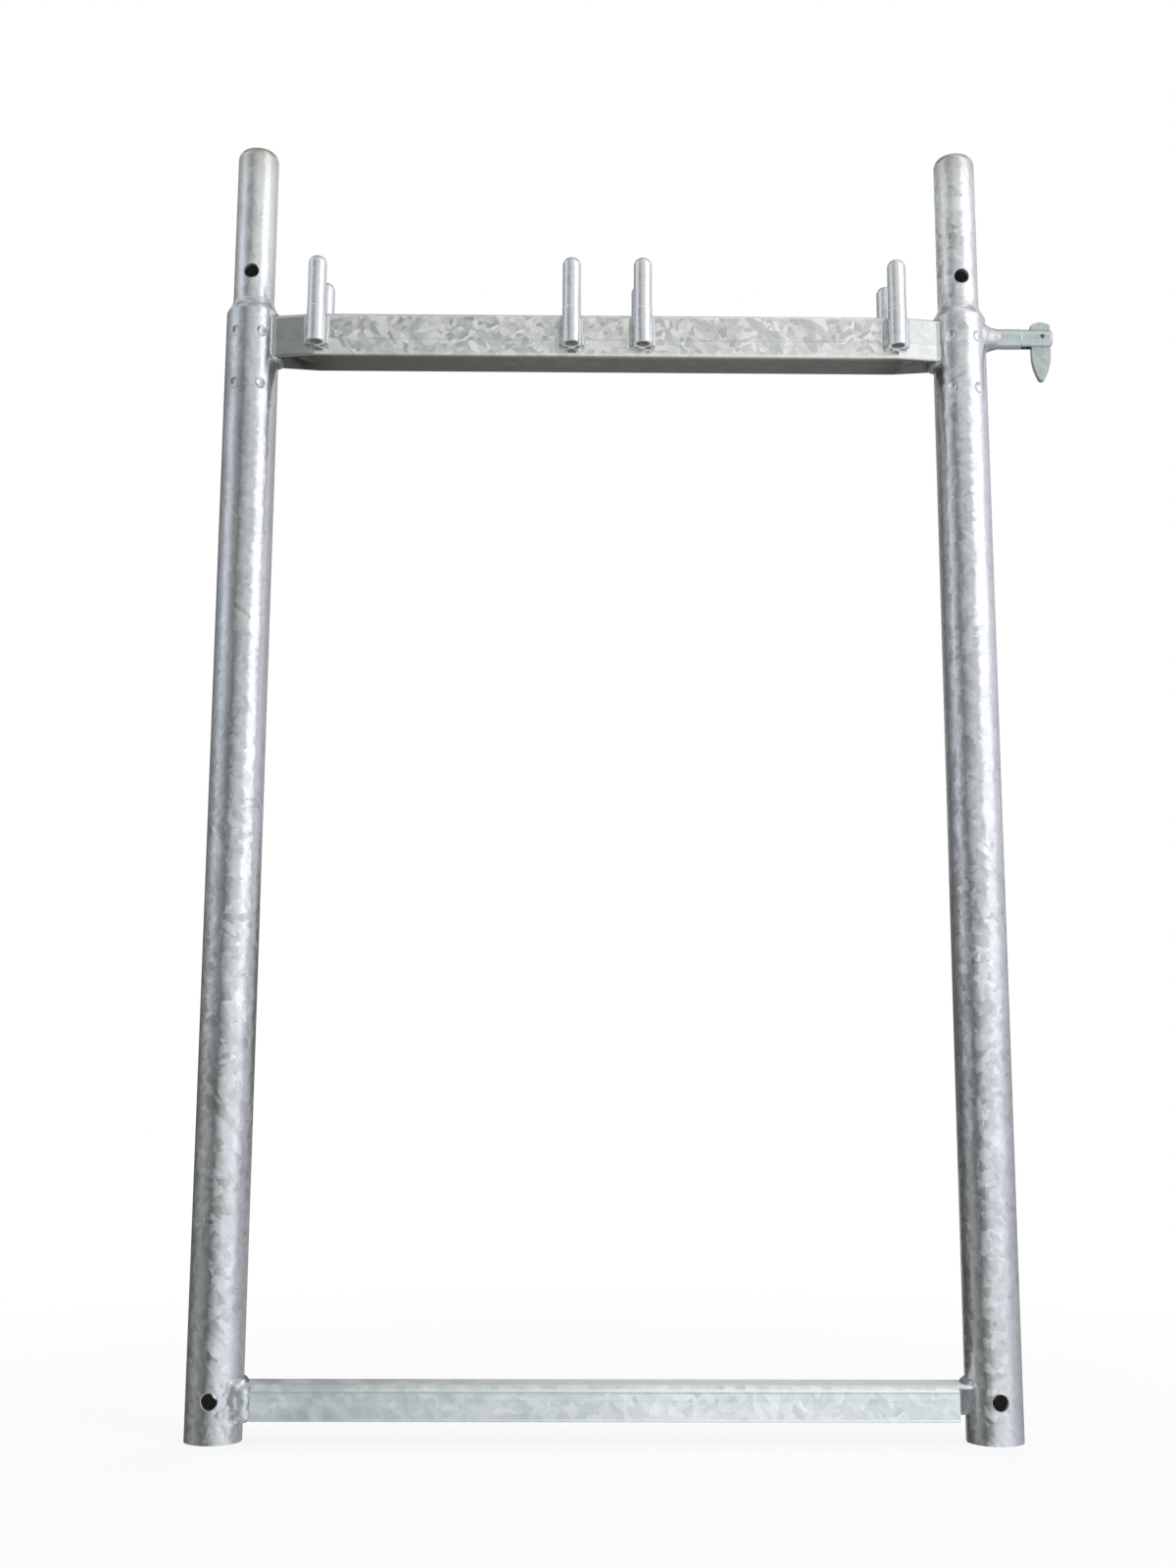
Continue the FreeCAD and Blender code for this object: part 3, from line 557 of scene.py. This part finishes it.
rail_zinc = galvanised(
    "rail_zinc", dark=(0.63, 0.69, 0.70), pale=(0.95, 1.0, 1.0), crystal=0.006, fleck=1.0, lean=0.10,
    smooth=0.30, dull=0.36, swell=0.0002, flaky=0.8, ragged=0.4, metal=0.4,
    stains_and_painted_light=[
        # Painted highlights and painted shade in lines and towards the left, and a faint line half way down
        # the wall.
        (painted_highlight_lines, (1.0, 1.0, 1.0)),
        (painted_shade_and_mid_line, (0.42, 0.44, 0.45)),
        (painted_shade_left, (0.42, 0.49, 0.50)),
    ],
)
dress(rail_zinc, "bottom_rail")
lay_weld("rail_weld_left", rounding=8)
lay_weld("rail_weld_right", rounding=8)


# Zinc run: at the left foot the bath left a thick run over the weld of the rail's front wall and on the post
# beside it. Its lumps, listed by their middle from the post's axis and their radius, melt into one piece.
WITHIN_POST_WALL = 0.0222
ZINC_RUN = [
    (0.0265, -0.0165, 0.0415, 0.0060), (0.0275, -0.0160, 0.0340, 0.0062), (0.0262, -0.0165, 0.0262, 0.0064),
    (0.0285, -0.0155, 0.0215, 0.0050), (0.0200, -0.0160, 0.0440, 0.0054), (0.0195, -0.0160, 0.0360, 0.0060),
    (0.0195, -0.0158, 0.0280, 0.0060), (0.0190, -0.0150, 0.0200, 0.0054), (0.0235, -0.0125, 0.0475, 0.0052),
    (0.0130, -0.0139, 0.0480, 0.0062), (0.0105, -0.0158, 0.0405, 0.0062), (0.0140, -0.0128, 0.0340, 0.0068),
    (0.0110, -0.0155, 0.0270, 0.0063), (0.0145, -0.0123, 0.0205, 0.0068), (0.0120, -0.0147, 0.0135, 0.0062),
    (0.0150, -0.0117, 0.0110, 0.0062), (0.0098, -0.0163, 0.0190, 0.0060), (0.0090, -0.0176, 0.0490, 0.0056),
    (0.0080, -0.0177, 0.0110, 0.0060), (0.0125, -0.0146, 0.0070, 0.0058), (0.0065, -0.0186, 0.0455, 0.0054),
    (0.0072, -0.0182, 0.0235, 0.0056),
]
run_zinc = galvanised(
    "run_zinc", dark=(0.53, 0.57, 0.60), pale=(0.85, 0.89, 0.92), crystal=0.005, fleck=0.9, lean=0.16,
    smooth=0.32, dull=0.36, swell=0.0004, flaky=0.9, metal=0.8,
)


def clear_post(piece, across):
    """Cuts away what reaches through the wall of a post."""
    bpy.ops.object.select_all(action="DESELECT")
    bpy.ops.mesh.primitive_cylinder_add(vertices=ROUND, radius=WITHIN_POST_WALL, depth=2.2,
                                        location=(across, 0, 0.5))
    cutter = bpy.context.active_object
    bpy.ops.object.select_all(action="DESELECT")
    piece.select_set(True)
    bpy.context.view_layer.objects.active = piece
    cut = piece.modifiers.new("cut", "BOOLEAN")
    cut.operation = "DIFFERENCE"
    cut.object = cutter
    bpy.ops.object.modifier_apply(modifier=cut.name)
    bpy.data.objects.remove(cutter)


run_lumps = []
for across, depth, up, radius in ZINC_RUN:
    bpy.ops.object.select_all(action="DESELECT")
    bpy.ops.mesh.primitive_uv_sphere_add(segments=24, ring_count=12, radius=radius,
                                         location=(across - POST_AXIS, depth, up))
    run_lumps.append(bpy.context.active_object)
for lump in run_lumps:
    lump.select_set(True)
bpy.ops.object.join()
bpy.ops.object.transform_apply(location=True, rotation=True, scale=True)
zinc_run = bpy.context.active_object
zinc_run.name = "zinc_run"
melt(zinc_run, rounding=80, lumps=0.0010, material=run_zinc)
clear_post(zinc_run, -POST_AXIS)


# Guardrail bolt with the spring sleeve in it: a turned bar, welded to the right post. Smooth zinc with a
# greenish tint. The weld is a hollow collar that spreads from the bolt on to the post.
BOLT_HEIGHT = 0.981
BOLT_COLLAR = [
    (0.0160, 0.340), (0.0164, 0.345), (0.0156, 0.349), (0.0139, 0.352), (0.0122, 0.3545), (0.0109, 0.357),
    (0.0101, 0.3595), (0.0095, 0.362), (0.0090, 0.3645), (0.0085, 0.367), (0.0072, 0.367), (0.0072, 0.340),
]
bolt_zinc = galvanised(
    "bolt_zinc", dark=(0.47, 0.52, 0.52), pale=(0.70, 0.75, 0.74), crystal=0.004, fleck=0.5, lean=0.08,
    smooth=0.24, dull=0.30, swell=0.0002, flaky=0.4, metal=0.95,
)
dress(bolt_zinc, "guardrail_bolt", "latch_sleeve")
collar = turned_ring("guardrail_bolt_weld_bead", (0, 0, BOLT_HEIGHT), (1, 0, 0), BOLT_COLLAR)
melt(collar, rounding=10, lumps=0.0004, material=weld_zinc)
clear_post(collar, POST_AXIS)
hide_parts("guardrail_bolt_weld")


# Latch flap: a stamped plate that hangs on the sleeve in the bolt's slot and drops by its own weight. Its
# zinc plating is thin, matt and greenish.
flap_zinc = galvanised(
    "flap_zinc", dark=(0.38, 0.43, 0.42), pale=(0.59, 0.65, 0.63), crystal=0.004, fleck=0.6, lean=0.08,
    smooth=0.34, dull=0.40, swell=0.0001, flaky=0.7, metal=0.85,
)
dress(flap_zinc, "latch_flap")


# Studio: a pale floor under a white sky, with three soft lamps. A ring of cards with a cap stands round the
# frame and shows only in the metal: bright on the right, grey in front and behind, dark at both left
# corners, with tints of its own high up and low down.
bpy.ops.object.select_all(action="DESELECT")
bpy.ops.mesh.primitive_plane_add(size=40.0)
floor = bpy.context.active_object
floor.name = "floor"
floor.visible_glossy = False
floor_paint = bpy.data.materials.new("floor_paint")
floor_paint.use_nodes = True
floor_shader = floor_paint.node_tree.nodes["Principled BSDF"]
floor_shader.inputs["Base Color"].default_value = (0.88, 0.88, 0.88, 1)
floor_shader.inputs["Roughness"].default_value = 0.9
floor_place = add_node(floor_paint, "ShaderNodeTexCoord").outputs["Object"]
distance = vector_calc(floor_paint, "LENGTH", floor_place)
whiteness = fade(floor_paint, distance, 0.4, 1.2, 0.85, 1.0)
seen = add_node(floor_paint, "ShaderNodeLightPath").outputs["Is Camera Ray"]
glow = add_node(floor_paint, "ShaderNodeEmission")
blend = add_node(floor_paint, "ShaderNodeMixShader")
plug(floor_paint, calc(floor_paint, "MULTIPLY", seen, whiteness), blend.inputs["Fac"])
plug(floor_paint, floor_shader.outputs["BSDF"], blend.inputs[1])
plug(floor_paint, glow.outputs["Emission"], blend.inputs[2])
plug(floor_paint, blend.outputs["Shader"], floor_paint.node_tree.nodes["Material Output"].inputs["Surface"])
floor.data.materials.append(floor_paint)

CARDS_HIGH = [
    (-180, 0.40), (-140, 0.13), (-101, 0.36), (-75, 0.79), (-57, 0.43), (-34, 0.16), (-28, 0.32), (8, 0.66),
    (27, 0.68), (33, 0.82), (42, 1.42), (76, 1.45), (86, 0.84), (105, 0.75), (140, 0.50), (180, 0.40),
]
CARDS_LOW = [
    (-180, 0.38), (-148, 0.06), (-108, 0.16), (-78, 0.34), (-40, 0.13), (-34, 0.12), (-28, 0.30), (-8, 0.58),
    (9, 0.85), (45, 0.88), (54, 1.00), (64, 0.78), (80, 0.60), (120, 0.40), (180, 0.38),
]
TINTS_HIGH = [
    (-180, (0.99, 1.0, 1.03)), (-80, (0.94, 1.01, 1.10)), (-20, (0.95, 1.02, 1.0)), (60, (1.0, 1.0, 1.03)),
    (110, (0.99, 0.99, 1.08)), (180, (0.99, 1.0, 1.03)),
]
TINTS_LOW = [
    (-180, (1.0, 1.0, 0.98)), (-80, (0.98, 1.0, 1.0)), (-20, (0.96, 1.01, 0.99)), (30, (0.97, 1.0, 1.05)),
    (90, (0.97, 1.0, 1.08)), (180, (1.0, 1.0, 0.98)),
]
RING_RADIUS = 1.7
RING_FOOT = -1.2
RING_TOP = 2.6
bpy.ops.object.select_all(action="DESELECT")
bpy.ops.mesh.primitive_cylinder_add(vertices=ROUND, radius=RING_RADIUS, depth=RING_TOP - RING_FOOT,
                                    location=(0, 0, (RING_TOP + RING_FOOT) / 2))
cards = bpy.context.active_object
cards.name = "cards"
bpy.ops.object.transform_apply(location=True, rotation=True, scale=True)
cards.visible_camera = False
cards.visible_diffuse = False
cards.visible_transmission = False
cards.visible_shadow = False
card_paint = bpy.data.materials.new("card_paint")
card_paint.use_nodes = True
card_paint.node_tree.nodes.remove(card_paint.node_tree.nodes["Principled BSDF"])
card_place = add_node(card_paint, "ShaderNodeTexCoord").outputs["Object"]
rightward, backward, card_height = split(card_paint, card_place)
frontward = calc(card_paint, "MULTIPLY", backward, -1.0)
card_angle = calc(card_paint, "ARCTAN2", rightward, frontward)
card_angle = calc(card_paint, "MULTIPLY_ADD", card_angle, 0.5 / math.pi, 0.5)


def card_ring(stops):
    """Tones or tints all round the frame, by their angle from the front, positive towards the right."""
    ring = add_node(card_paint, "ShaderNodeValToRGB")
    ramp = ring.color_ramp.elements
    for angle, _ in stops[1:-1]:
        ramp.new(angle / 360 + 0.5)
    for stop, (_, tone) in zip(ramp, stops):
        stop.color = (*tone, 1) if isinstance(tone, tuple) else (tone, tone, tone, 1)
    plug(card_paint, card_angle, ring.inputs["Fac"])
    return ring.outputs["Color"]


high_ring = vector_calc(card_paint, "MULTIPLY", card_ring(CARDS_HIGH), card_ring(TINTS_HIGH))
low_ring = vector_calc(card_paint, "MULTIPLY", card_ring(CARDS_LOW), card_ring(TINTS_LOW))
around = mix_colours(card_paint, fade(card_paint, card_height, 0.0, 1.1), low_ring, high_ring)
top_haze = fade(card_paint, card_height, 1.5, 2.4, 0.0, 0.5)
around = mix_colours(card_paint, top_haze, around, (0.96, 0.98, 0.96, 1))

# A dark gap stands low behind the frame.
gap_foot = fade(card_paint, card_height, 0.10, 0.25)
gap_top = fade(card_paint, card_height, 0.75, 0.55)
gap_behind = fade(card_paint, frontward, -1.1, -1.31)
gap = calc(card_paint, "MULTIPLY", calc(card_paint, "MULTIPLY", gap_foot, gap_top), gap_behind)
around = mix_colours(card_paint, gap, around, (0.14, 0.14, 0.13, 1))

# The cap is darker behind than in front, and half of it repeats the ring.
overhead = fade(card_paint, frontward, -0.26, 0.52, 0.35, 0.62)
overhead = mix_colours(card_paint, 0.5, overhead, high_ring)
above_foot = fade(card_paint, card_height, RING_FOOT + 0.01, RING_FOOT + 0.02)
below_cap = fade(card_paint, card_height, RING_TOP - 0.01, RING_TOP - 0.02)
on_wall = calc(card_paint, "MULTIPLY", above_foot, below_cap)
card_glow = add_node(card_paint, "ShaderNodeEmission")
plug(card_paint, mix_colours(card_paint, on_wall, overhead, around), card_glow.inputs["Color"])
card_output = card_paint.node_tree.nodes["Material Output"]
plug(card_paint, card_glow.outputs["Emission"], card_output.inputs["Surface"])
cards.data.materials.append(card_paint)

LIT_MIDDLE = Vector((0, 0, 0.7))


def soft_lamp(name, place, width, height, watts):
    """Soft box that faces the frame. The ring of cards stands for it in the metal."""
    lamp = bpy.data.objects.new(name, bpy.data.lights.new(name, "AREA"))
    lamp.data.shape = "RECTANGLE"
    lamp.data.size = width
    lamp.data.size_y = height
    lamp.data.energy = watts
    lamp.location = place
    lamp.rotation_euler = (lamp.location - LIT_MIDDLE).to_track_quat("Z", "Y").to_euler()
    lamp.visible_camera = False
    lamp.visible_glossy = False
    bpy.context.scene.collection.objects.link(lamp)


soft_lamp("key_lamp", (1.5, -1.6, 1.4), width=1.2, height=2.0, watts=24)
soft_lamp("fill_lamp", (-1.9, -1.0, 1.2), width=0.8, height=2.0, watts=8)
soft_lamp("top_lamp", (0.3, 1.5, 2.4), width=1.4, height=1.0, watts=16)

# The sky lights the frame with about half the strength at which it is seen.
sky = bpy.data.worlds.new("white_sky")
bpy.context.scene.world = sky
sky.use_nodes = True
rays = add_node(sky, "ShaderNodeLightPath")
shown = calc(sky, "MAXIMUM", rays.outputs["Is Camera Ray"], rays.outputs["Is Glossy Ray"])
shown = calc(sky, "MAXIMUM", shown, rays.outputs["Is Transmission Ray"])
background = sky.node_tree.nodes["Background"]
background.inputs["Color"].default_value = (1, 1, 1, 1)
plug(sky, calc(sky, "MULTIPLY_ADD", shown, 0.45, 0.55), background.inputs["Strength"])
bpy.context.scene.view_settings.view_transform = "Standard"


# Camera: low in front of the frame, a little to the left of its middle and tilted up at it, so that the
# posts run together towards their tops.
camera = bpy.data.objects.new("camera", bpy.data.cameras.new("camera"))
camera.data.sensor_fit = "VERTICAL"
camera.data.sensor_height = 36.0
camera.data.lens = 40.5
camera.location = (-0.0311, -1.551, 0.3023)
camera.rotation_euler = [math.radians(angle) for angle in (99.3975, -0.1813, -0.5891)]
bpy.context.scene.collection.objects.link(camera)
bpy.context.scene.camera = camera
